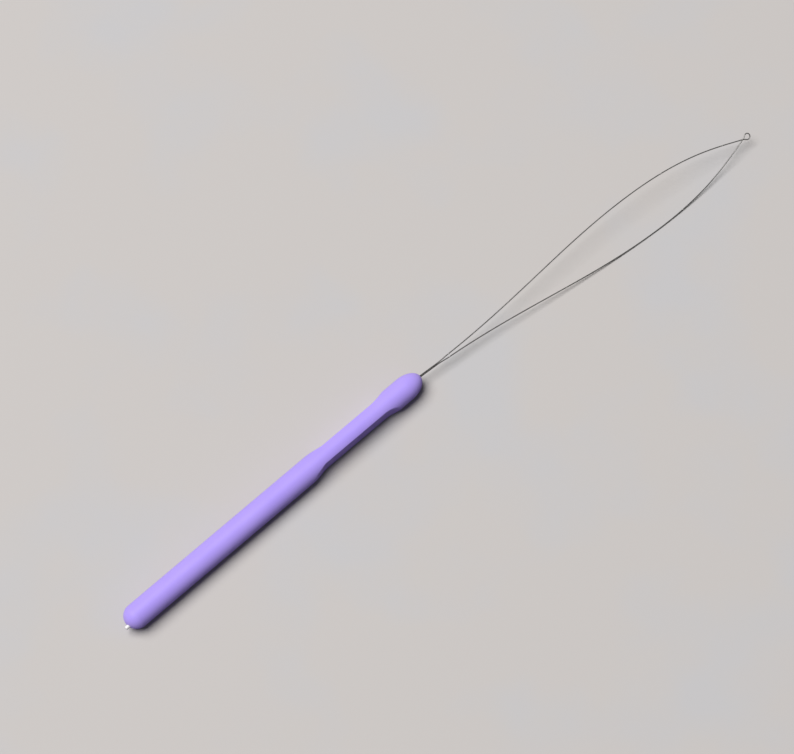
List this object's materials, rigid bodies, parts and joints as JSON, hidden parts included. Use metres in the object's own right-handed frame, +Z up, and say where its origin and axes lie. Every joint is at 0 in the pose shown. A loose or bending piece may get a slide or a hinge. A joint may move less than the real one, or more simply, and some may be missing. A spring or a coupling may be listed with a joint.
{
  "type": "bead threader tool",
  "caption": "Slim soft-grip handle carrying a long springy wire loop with a twisted end eye, for drawing cord or hair through small beads.",
  "frame": {"origin": "on the resting plane, under the middle of the handle's length, at the middle of the grip's lowest line", "axes": "+X along the handle from the butt to the wire, +Z up from the resting plane, the thumb rests facing +Y and -Y"},
  "size_m": [0.2779, 0.0186, 0.0087],
  "materials": {
    "grip_rubber": "matt soft-touch, lavender",
    "core_plastic": "moulded, white",
    "sleeve_steel": "drawn tube",
    "spring_wire": "bright drawn wire"
  },
  "bodies": {
    "handle": {"grip": "grip_rubber", "handle_core": "core_plastic", "crimp_sleeve": "sleeve_steel", "upper_wire_tail": "spring_wire", "lower_wire_tail": "spring_wire"},
    "wire_stem": {"upper_wire_stem": "spring_wire", "lower_wire_stem": "spring_wire"},
    "upper_rear": {"upper_strand_rear": "spring_wire"},
    "lower_rear": {"lower_strand_rear": "spring_wire"},
    "upper_middle": {"upper_strand_middle": "spring_wire"},
    "lower_middle": {"lower_strand_middle": "spring_wire"},
    "upper_front": {"upper_strand_front": "spring_wire"},
    "lower_front": {"lower_strand_front": "spring_wire"},
    "eye": {"tip_eye": "spring_wire"}
  },
  "joints": [
    {"name": "wire_sway", "type": "hinge", "parent": "handle", "child": "wire_stem", "pos_m": [0.065, 0, 0.00434], "axis": [0, 0, 1], "range_deg": [-12, 12], "stiffness_Nm_per_rad": 0.01},
    {"name": "loop_squeeze", "type": "hinge", "parent": "wire_stem", "child": "upper_rear", "pos_m": [0.08801, -0.0006, 0.00492], "axis": [0.0349, 0.51, -0.8595], "range_deg": [0, 5.6], "stiffness_Nm_per_rad": 0.1},
    {"name": "lower_rear_flex", "type": "hinge", "parent": "wire_stem", "child": "lower_rear", "pos_m": [0.08788, -0.00254, 0.00376], "axis": [0.0349, 0.51, -0.8595], "range_deg": [-5.7, 0.1]},
    {"name": "upper_middle_flex", "type": "hinge", "parent": "upper_rear", "child": "upper_middle", "pos_m": [0.16365, 0.00024, 0.00848], "axis": [0.0349, 0.51, -0.8595], "range_deg": [-10.18, 0.1]},
    {"name": "lower_middle_flex", "type": "hinge", "parent": "lower_rear", "child": "lower_middle", "pos_m": [0.1627, -0.01366, 0.0002], "axis": [0.0349, 0.51, -0.8595], "range_deg": [-0.1, 10.18]},
    {"name": "upper_front_flex", "type": "hinge", "parent": "upper_middle", "child": "upper_front", "pos_m": [0.18747, -0.00311, 0.00747], "axis": [0.0349, 0.51, -0.8595], "range_deg": [-12.03, 0.1]},
    {"name": "lower_front_flex", "type": "hinge", "parent": "lower_middle", "child": "lower_front", "pos_m": [0.18676, -0.01359, 0.00122], "axis": [0.0349, 0.51, -0.8595], "range_deg": [-0.1, 12.03]},
    {"name": "eye_flex", "type": "hinge", "parent": "upper_front", "child": "eye", "pos_m": [0.20592, -0.00889, 0.00478], "axis": [0.0349, 0.51, -0.8595], "range_deg": [-0.1, 16.51]}
  ],
  "couplings": [
    {"joint": "lower_rear_flex", "follows": "loop_squeeze", "ratio": -1},
    {"joint": "upper_middle_flex", "follows": "loop_squeeze", "ratio": -1.8},
    {"joint": "lower_middle_flex", "follows": "loop_squeeze", "ratio": 1.8},
    {"joint": "upper_front_flex", "follows": "loop_squeeze", "ratio": -2.13},
    {"joint": "lower_front_flex", "follows": "loop_squeeze", "ratio": 2.13},
    {"joint": "eye_flex", "follows": "loop_squeeze", "ratio": 2.93}
  ]
}
